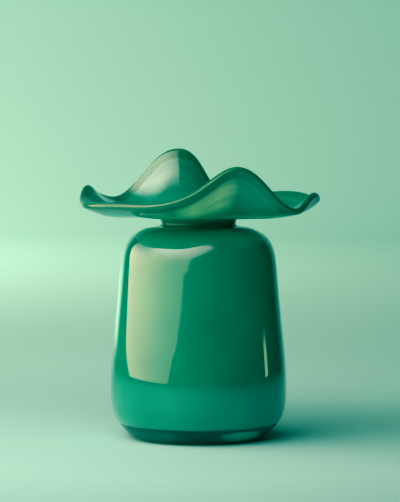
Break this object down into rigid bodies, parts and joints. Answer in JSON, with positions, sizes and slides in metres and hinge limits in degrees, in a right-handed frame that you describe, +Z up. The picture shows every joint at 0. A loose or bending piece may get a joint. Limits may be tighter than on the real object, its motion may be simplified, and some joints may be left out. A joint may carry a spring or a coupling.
{
  "type": "bud vase",
  "caption": "Hand-blown cased-glass bud vase with a squat body, a pinched neck and a wide ruffled rim, for short flower stems.",
  "frame": {"origin": "on the vase's axis, in the plane that the ground foot stands on", "axes": "+Z up along the body's axis, +X to the right, and the front faces -Y"},
  "size_m": [0.1222, 0.1107, 0.146],
  "materials": {
    "clear_green_glass": "fire-polished clear green glass",
    "dense_green_glass": "glossy dense emerald glass",
    "pale_green_glass": "fire-polished pale green glass"
  },
  "bodies": {
    "root": {"clear_base": "clear_green_glass", "body_casing": "clear_green_glass", "body_core": "dense_green_glass", "rim_casing": "clear_green_glass", "rim_core": "dense_green_glass", "lip_bead": "pale_green_glass"}
  },
  "joints": []
}
